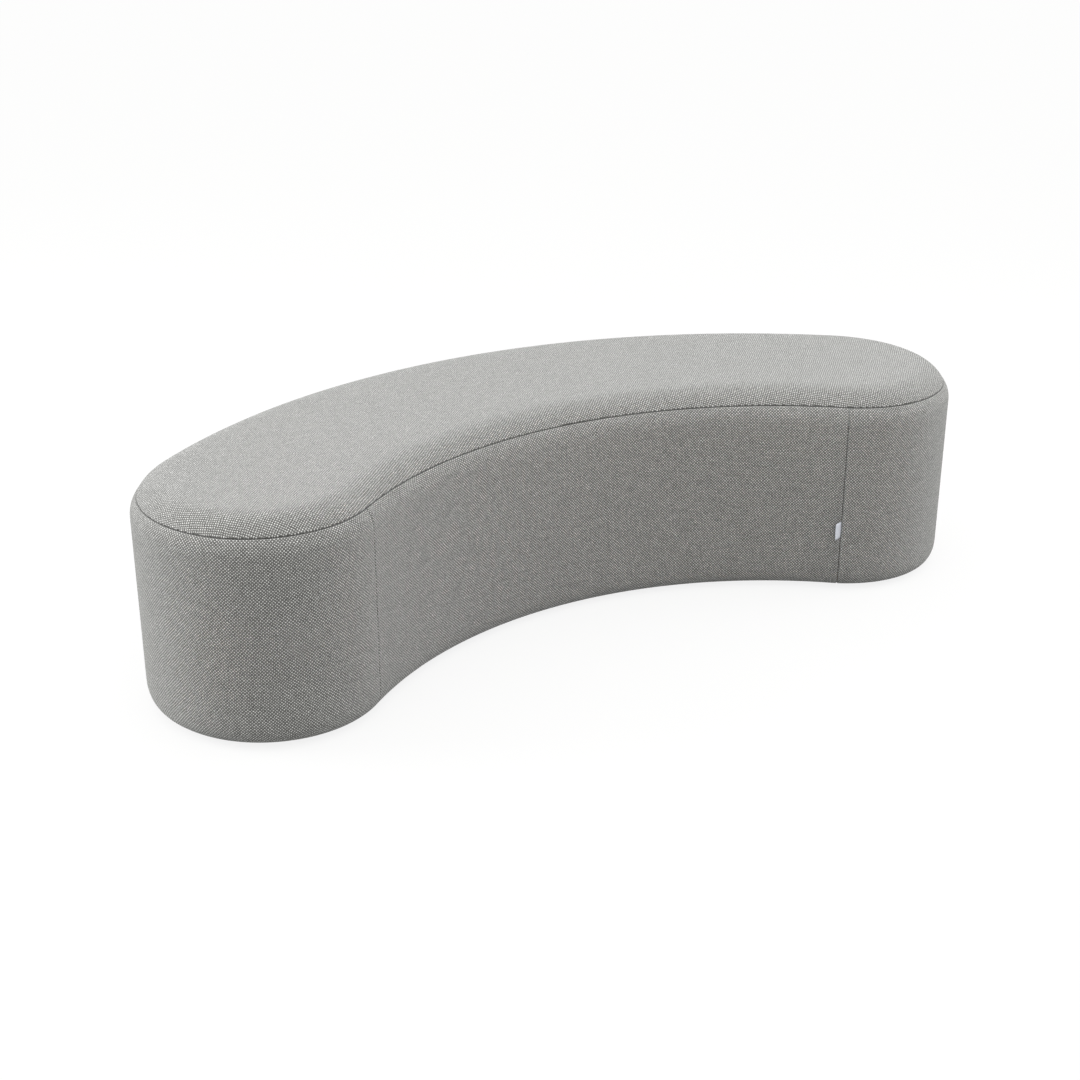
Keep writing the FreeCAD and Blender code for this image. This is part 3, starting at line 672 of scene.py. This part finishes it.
def turn_in(bm, place, tuck, edges, along, sense):
    """Rolls the upright edge of a panel inwards and carries it on as a sewn edge, short at the foot."""
    bm.normal_update()
    for vertex in {vertex for edge in edges for vertex in edge.verts}:
        inward = -vertex.normal
        vertex[tuck] = (inward - along * inward.dot(along)).normalized()
    angles = [QUARTER * step / FOLD_STEPS for step in range(1, FOLD_STEPS + 1)]
    path = [Vector((UPRIGHT_FOLD * math.sin(a), UPRIGHT_FOLD * (1 - math.cos(a)))) for a in angles]
    path.append(Vector((UPRIGHT_FOLD, SEAM_ALLOWANCE)))
    reached = Vector((0, 0))
    for point in path:
        grown = bmesh.ops.extrude_edge_only(bm, edges=edges)["geom"]
        verts = [part for part in grown if isinstance(part, bmesh.types.BMVert)]
        for vertex in verts:
            above_foot = vertex.co.z > foot_centre.y
            deep = point.y if above_foot else min(point.y, FOOT_FLAP)
            vertex.co += along * (point.x - reached.x) + vertex[tuck] * (deep - reached.y)
            vertex[place].x += sense * (point - reached).length
        reached = point
        edges = far_edges(grown, verts)


def side_panel(name, node, runs):
    """Sweeps a side panel along its run and turns in its two upright edges."""
    bm = bmesh.new()
    tuck = bm.verts.layers.float_vector.new("tuck")
    cut = trimmed(runs, UPRIGHT_FOLD + UPRIGHT_GAP)
    place, outward = sweep(bm, side_section, cut)
    length = max(vertex[place].x for vertex in bm.verts)
    bmesh.ops.recalc_face_normals(bm, faces=bm.faces[:])
    for way, (arc, start, end) in ((-1, cut[0]), (1, cut[-1])):
        angle = end if way > 0 else start
        spot = length if way > 0 else 0.0
        travel = math.copysign(way, way * (end - start))
        along = Vector((-math.sin(angle), math.cos(angle), 0)) * travel
        chain = []
        for edge in bm.edges:
            on_end = all(abs(v[place].x - spot) < 0.01 * MM for v in edge.verts)
            on_flap = any(v[place].y > seam_climb + MM for v in edge.verts)
            if edge.is_boundary and on_end and not on_flap:
                chain.append(edge)
        turn_in(bm, place, tuck, chain, along, way)

    def seam_distance(vertex):
        run, climb = vertex[place].xy
        return min(run, length - run, seam_climb - climb, climb - TURN_UNDER)

    weigh(bm, seam_distance)
    lay_weave(bm, lambda v: v[place].xy)
    cloth_piece(name, node, bm)


front_run = side_runs["front"]
wrap_run = side_runs["right_end"] + side_runs["back"] + side_runs["left_end"]
side_panel("front_panel_cloth", "cover_front", front_run)
side_panel("wrap_panel_cloth", "cover_wrap", wrap_run)

# Seam thread: the lockstitch that joins the panels, in strong spun polyester coloured darker than the cloth,
# partly as painted shade for the dark line of each seam.
# Its stitches lie at the bottom of each seam, drawn in between the two folds.
STITCH = 4.6 * MM
STITCH_PITCH = 4.2 * MM
THREAD = 0.8 * MM
THREAD_TWIST = 0.6 * MM


def stitch_row(bm, first, along, **way):
    """A row of stitches: one short spindle of thread, laid along the seam and copied on the way."""
    turned = along.to_track_quat("X", "Z").to_matrix().to_4x4()
    sized = Matrix.Diagonal((STITCH / 2, THREAD / 2, THREAD / 2, 1))
    spindle = Matrix.Translation(first) @ turned @ sized
    verts = bmesh.ops.create_uvsphere(bm, u_segments=6, v_segments=5, radius=1, matrix=spindle)["verts"]
    faces = list({face for vertex in verts for face in vertex.link_faces})
    bmesh.ops.spin(bm, geom=faces, axis=(0, 0, 1), use_duplicate=True, **way)


bm = bmesh.new()
for arc, start, end in WHOLE:
    count = round(abs(end - start) * arc[2] / STITCH_PITCH)
    half_step = (end - start) / count / 2
    first = start + half_step
    along = Vector((-math.sin(first), math.cos(first), 0))
    way = {"cent": (arc[0], arc[1], 0), "angle": end - start - 2 * half_step, "steps": count - 1}
    stitch_row(bm, on_arc(arc, SEAM_INSET + TOP_FOLD, first, seam_level), along, **way)
for arc, angle in ((LEFT_INNER, LEFT_INNER[4]), (RIGHT_INNER, right_seam)):
    count = round((roll_centre.y - foot_centre.y) / STITCH_PITCH)
    way = {"dvec": (0, 0, STITCH_PITCH), "angle": 0, "steps": count - 1}
    stitch_row(bm, on_arc(arc, UPRIGHT_FOLD, angle, foot_centre.y), Vector((0, 0, 1)), **way)
spun, tree, shader = start_material("spun_polyester_thread")
coords = put(tree, "TexCoord")
ply = put(tree, "TexNoise", {"Vector": coords.outputs["Object"], "Scale": 1 / THREAD_TWIST, "Detail": 2.0})
# Twisted thread has a dull sheen and darkens between its plies.
seam_shade_and_lustre = put(tree, "ValToRGB", {"Fac": ply.outputs[0]})
# Partly the thread's own colour, partly painted shade: its dark grey makes each seam read as a dark line.
seam_shade_and_lustre.color_ramp.elements[0].color = linear("#3a3a38")
seam_shade_and_lustre.color_ramp.elements[1].color = linear("#5a5a56")
bump = put(tree, "Bump", {"Height": ply.outputs[0], "Strength": 0.5, "Distance": 0.1 * MM})
tree.links.new(seam_shade_and_lustre.outputs[0], shader.inputs["Base Color"])
tree.links.new(bump.outputs[0], shader.inputs["Normal"])
shader.inputs["Roughness"].default_value = 0.6
piece("seam_thread", bm, spun)

# Seam label: a bare satin ribbon, folded in half, with both ends sewn into the right-hand upright seam.
# The fold stands out from the cloth and leans towards the front.
LABEL_REACH = 19 * MM
LABEL_ROOT = 8 * MM
LABEL_LEAN = math.radians(31)
LABEL_THICKNESS = 0.8 * MM
LABEL_ROWS = 8
LABEL_COLUMNS = 8
LABEL_SUNK = 2 * MM
LABEL_BOW = 0.5 * MM
LABEL_CURL = 1.2 * MM
LABEL_CURL_TURN = 0.8 * math.pi
LABEL_FOLD_TURNS = (-0.9, 0.0, 0.9)
RIBBON = 0.3 * MM
RIBBON_RIB = 0.9 * MM
normal = Vector((math.cos(right_seam), math.sin(right_seam), 0))
front_way = Vector((normal.y, -normal.x, 0))
lean = normal * math.cos(LABEL_LEAN) + front_way * math.sin(LABEL_LEAN)
across = Vector((lean.y, -lean.x, 0))
label_low, label_high = (corner.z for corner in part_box("seam_label"))
label_reach = LABEL_REACH + LABEL_SUNK
label_seam = on_arc(RIGHT_INNER, LABEL_SUNK, right_seam, label_low) + front_way * (LABEL_THICKNESS / 2)
ply_gap = (LABEL_THICKNESS - RIBBON) / 2
bm = bmesh.new()
grip = bm.verts.layers.float_vector.new("grip")
near_ply, far_ply = [], []
for step in range(LABEL_COLUMNS + 1):
    way = step / LABEL_COLUMNS
    middle = label_seam + lean * (way * (label_reach - ply_gap))
    spread = across * (ply_gap + LABEL_BOW * math.sin(math.pi * way) ** 2)
    near_ply.append((middle - spread, way))
    far_ply.append((middle + spread, way))
tip = label_seam + lean * (label_reach - ply_gap)
fold = [(tip + (lean * math.cos(a) + across * math.sin(a)) * ply_gap, 1.0) for a in LABEL_FOLD_TURNS]
root = label_seam - normal * (LABEL_ROOT - LABEL_SUNK)
roots = [(root + front_way * side, 0.0) for side in (-ply_gap, ply_gap)]
ribbon_line = [roots[0], *near_ply, *fold, *far_ply[::-1], roots[1]]
travelled, before = 0.0, ribbon_line[0][0]
wire = []
for point, way in ribbon_line:
    travelled += (point - before).length
    before = point
    vertex = bm.verts.new(point)
    vertex[grip] = (travelled, 0.0, way)
    wire.append(vertex)
edges = [bm.edges.new(pair) for pair in zip(wire, wire[1:])]
for _ in range(LABEL_ROWS):
    grown = bmesh.ops.extrude_edge_only(bm, edges=edges)["geom"]
    verts = [part for part in grown if isinstance(part, bmesh.types.BMVert)]
    for vertex in verts:
        vertex.co.z += (label_high - label_low) / LABEL_ROWS
        vertex[grip].y = vertex.co.z - label_low
    edges = far_edges(grown, verts)
for vertex in bm.verts:
    climb = vertex[grip].y / (label_high - label_low)
    vertex.co += across * (LABEL_CURL * vertex[grip].z ** 2 * math.sin(LABEL_CURL_TURN * climb))
bmesh.ops.recalc_face_normals(bm, faces=bm.faces[:])
lay_weave(bm, lambda v: v[grip].xy)
satin, tree, shader = start_material("polyester_satin_ribbon")
flat = put(tree, "UVMap", uv_map="cloth").outputs[0]
ribs = put(tree, "TexWave", {"Vector": flat, "Scale": math.tau / (20 * RIBBON_RIB)}, bands_direction="Y")
# Satin is smooth and cool white, with a soft gloss along fine ribs, drawn coarse enough to show.
weave = put(tree, "ValToRGB", {"Fac": ribs.outputs[1]})
weave.color_ramp.elements[0].color = linear("#dfe3ee")
weave.color_ramp.elements[1].color = linear("#eef1f9")
bump = put(tree, "Bump", {"Height": ribs.outputs[1], "Strength": 0.3, "Distance": 0.1 * MM})
tree.links.new(weave.outputs[0], shader.inputs["Base Color"])
tree.links.new(bump.outputs[0], shader.inputs["Normal"])
shader.inputs["Roughness"].default_value = 0.42
label = piece("seam_label_ribbon", bm, satin)
thickness = label.modifiers.new("ribbon", "SOLIDIFY")
thickness.thickness = RIBBON
thickness.offset = 0
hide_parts("seam_label")

# Dust cover: black spunbond cloth that closes the underside, folded in along its rim and stapled to the base.
# It laps over the turned-under edges of the side panels and steps up on to the board inside them.
DUST_RIM_INSET = 35 * MM
DUST_HEM = 14 * MM
DUST_PLY = 0.4 * MM
DUST_STEP = 3 * MM
SPUN_DOT = 2.5 * MM
SPUN_FIBRE = 1.4 * MM
dust_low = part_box("dust_cover")[0].z
step_start = foot_roll + TURN_UNDER + MM
rim_low, rim_high = dust_low + DUST_PLY / 2, dust_low + DUST_PLY * 1.5
inner_level = board_bottom - DUST_PLY
hem_end = DUST_RIM_INSET + DUST_HEM
dust_section = [Vector((hem_end, rim_high)), Vector((DUST_RIM_INSET, rim_high))]
dust_section += [Vector((DUST_RIM_INSET - DUST_PLY / 4, (rim_low + rim_high) / 2))]
dust_section += [Vector((inset, rim_low)) for inset in (DUST_RIM_INSET, hem_end, step_start)]
dust_section += [Vector((step_start + DUST_STEP, inner_level)), Vector((PLATEAU_EDGE, inner_level))]
bm = bmesh.new()
place, outward = sweep(bm, dust_section, WHOLE, FOAM_COARSENESS)
close_plateau(bm, place, inner_level)
bmesh.ops.recalc_face_normals(bm, faces=bm.faces[:])
spunbond, tree, shader = start_material("black_spunbond_polypropylene")
coords = put(tree, "TexCoord")
dots = {"Vector": coords.outputs["Object"], "Scale": 1 / SPUN_DOT, "Randomness": 0.15}
dots = put(tree, "TexVoronoi", dots)
fibres = put(tree, "TexNoise", {"Vector": coords.outputs["Object"], "Scale": 1 / SPUN_FIBRE, "Detail": 3.0})
# Fine fibres bonded at rows of small pressed dots leave a dull black face, a little greyer between the dots.
web = put(tree, "ValToRGB", {"Fac": fibres.outputs[0]})
web.color_ramp.elements[0].color = linear("#161617")
web.color_ramp.elements[0].position = 0.35
web.color_ramp.elements[1].color = linear("#343436")
web.color_ramp.elements[1].position = 0.7
bump = put(tree, "Bump", {"Height": dots.outputs[0], "Strength": 0.5, "Distance": 0.3 * MM})
tree.links.new(web.outputs[0], shader.inputs["Base Color"])
tree.links.new(bump.outputs[0], shader.inputs["Normal"])
shader.inputs["Roughness"].default_value = 0.75
dust_sheet = piece("dust_cover_sheet", bm, spunbond, smooth=False)
thickness = dust_sheet.modifiers.new("spunbond", "SOLIDIFY")
thickness.thickness = DUST_PLY
thickness.offset = 0
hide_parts("dust_cover")

# Staples: bent steel wire, shot through the rim of the dust cover into the base board.
# They follow the rim, a hand's breadth apart and never quite in line.
STAPLE_PITCH = 62 * MM
STAPLE_INSET = DUST_RIM_INSET + 9 * MM
STAPLE_CROWN = 11 * MM
STAPLE_WIRE = 1.2 * MM
STAPLE_LEG = 2 * MM
STAPLE_SLANT = math.radians(12)
template = bmesh.new()
half_crown, bend = STAPLE_CROWN / 2, STAPLE_WIRE
bow = [(half_crown, STAPLE_LEG), (half_crown, bend)]
bow += [(half_crown - 0.3 * bend, 0.3 * bend), (half_crown - bend, 0)]
bow += [(-reach, height) for reach, height in bow[::-1]]
wire = [template.verts.new((reach, -STAPLE_WIRE / 2, height)) for reach, height in bow]
edges = [template.edges.new(pair) for pair in zip(wire, wire[1:])]
strip = bmesh.ops.extrude_edge_only(template, edges=edges)["geom"]
strip_verts = [part for part in strip if isinstance(part, bmesh.types.BMVert)]
bmesh.ops.translate(template, verts=strip_verts, vec=(0, STAPLE_WIRE, 0))
bmesh.ops.recalc_face_normals(template, faces=template.faces[:])
bmesh.ops.solidify(template, geom=template.faces[:], thickness=STAPLE_WIRE / 2)
staple_mesh = bpy.data.meshes.new("staple")
template.to_mesh(staple_mesh)
template.free()
staple_low = dust_low - STAPLE_WIRE / 2
bm = bmesh.new()
for arc, start, end in WHOLE:
    count = round(abs(end - start) * (arc[2] - arc[5] * STAPLE_INSET) / STAPLE_PITCH)
    for index in range(count):
        angle = start + (end - start) * (index + 0.5) / count
        spot = on_arc(arc, STAPLE_INSET, angle, staple_low)
        slant = STAPLE_SLANT * noise.noise(spot * 40)
        before = set(bm.verts)
        bm.from_mesh(staple_mesh)
        turned = Matrix.Rotation(angle + QUARTER + slant, 4, "Z")
        bmesh.ops.transform(bm, matrix=Matrix.Translation(spot) @ turned, verts=list(set(bm.verts) - before))
bpy.data.meshes.remove(staple_mesh)
bmesh.ops.recalc_face_normals(bm, faces=bm.faces[:])
piece("dust_cover_staples", bm, zinc, smooth=False)

# Glides: six moulded nylon discs under the base, each held by one countersunk screw.
# They keep the cover off the floor and let the bench slide.
NYLON_GRAIN = 0.8 * MM
nylon, tree, shader = start_material("moulded_black_nylon")
coords = put(tree, "TexCoord")
spark = put(tree, "TexNoise", {"Vector": coords.outputs["Object"], "Scale": 1 / NYLON_GRAIN, "Detail": 2.0})
# Spark-eroded moulds leave a fine even grain, rubbed to a dull shine in use.
tint = put(tree, "ValToRGB", {"Fac": spark.outputs[0]})
tint.color_ramp.elements[0].color = linear("#17181a")
tint.color_ramp.elements[1].color = linear("#2b2c2e")
rubbed = put(tree, "MapRange", {"Value": spark.outputs[0], "To Min": 0.35, "To Max": 0.6})
bump = put(tree, "Bump", {"Height": spark.outputs[0], "Strength": 0.3, "Distance": 0.1 * MM})
tree.links.new(tint.outputs[0], shader.inputs["Base Color"])
tree.links.new(rubbed.outputs[0], shader.inputs["Roughness"])
tree.links.new(bump.outputs[0], shader.inputs["Normal"])
dress([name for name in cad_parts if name.startswith("glide_") and name != "glide_screws"], nylon)
dress(["glide_screws"], zinc)

# Studio: a pale floor, a white surround and soft lamps, with the camera where the photograph was taken.
# The floor shows white and takes a faint shadow of the bench, but throws little light back up at it.
CAMERA_PLACE = Vector((-1.69352, -2.90618, 1.58243))
CAMERA_TARGET = Vector((-0.02192, -0.02320, 0.12878))
CAMERA_LENS = 57.816
FLOOR_RADIUS = 14.0
SHADOW_SHARE = 0.16
bm = bmesh.new()
bmesh.ops.create_circle(bm, cap_ends=True, segments=96, radius=FLOOR_RADIUS)
floor_mesh = bpy.data.meshes.new("studio_floor")
bm.to_mesh(floor_mesh)
bm.free()
floor = bpy.data.objects.new("studio_floor", floor_mesh)
bpy.context.scene.collection.objects.link(floor)
paper, tree, shader = start_material("white_paper_floor")
floor_mesh.materials.append(paper)
ray = put(tree, "LightPath")
seen = ray.outputs["Is Camera Ray"]
for kind in ("Is Glossy Ray", "Is Transmission Ray"):
    seen = put(tree, "Math", {0: seen, 1: ray.outputs[kind]}, operation="MAXIMUM").outputs[0]
paper_tone = put(tree, "Mix", {0: seen, 6: linear("#7c7c7a"), 7: linear("#f2f2f0")}, data_type="RGBA")
tree.links.new(paper_tone.outputs[2], shader.inputs["Base Color"])
shader.inputs["Roughness"].default_value = 0.9
shader.inputs["Specular IOR Level"].default_value = 0.0
share = put(tree, "Math", {0: seen, 1: 1 - SHADOW_SHARE}, operation="MULTIPLY")
glow = put(tree, "Emission", {"Color": (1, 1, 1, 1), "Strength": 1.0})
mixed = put(tree, "MixShader", {0: share.outputs[0], 1: shader.outputs[0], 2: glow.outputs[0]})
tree.links.new(mixed.outputs[0], tree.nodes["Material Output"].inputs["Surface"])

world = bpy.data.worlds.new("white_surround")
bpy.context.scene.world = world
world.use_nodes = True
world.node_tree.nodes["Background"].inputs["Color"].default_value = (1, 1, 1, 1)
world.node_tree.nodes["Background"].inputs["Strength"].default_value = 1.0


def softbox(name, place, target, size, energy):
    """A large soft lamp that points at a target."""
    lamp = bpy.data.lights.new(name, "AREA")
    lamp.shape = "RECTANGLE"
    lamp.size, lamp.size_y = size
    lamp.energy = energy
    made = bpy.data.objects.new(name, lamp)
    made.location = place
    made.rotation_euler = (Vector(target) - Vector(place)).to_track_quat("-Z", "Y").to_euler()
    bpy.context.scene.collection.objects.link(made)


softbox("overhead_softbox", (0.0, -1.2, 2.8), (0.0, 0.0, 0.3), (3.6, 2.0), 17)
softbox("left_softbox", (-3.2, 1.6, 1.4), (-0.6, 0.0, 0.25), (1.8, 1.6), 66)
softbox("right_softbox", (2.4, -0.9, 1.1), (0.75, 0.0, 0.25), (1.2, 1.0), 13)

camera = bpy.data.objects.new("camera", bpy.data.cameras.new("camera"))
camera.location = CAMERA_PLACE
camera.rotation_euler = (CAMERA_TARGET - CAMERA_PLACE).to_track_quat("-Z", "Y").to_euler()
camera.data.lens = CAMERA_LENS
bpy.context.scene.collection.objects.link(camera)
bpy.context.scene.camera = camera
bpy.context.scene.view_settings.view_transform = "Standard"
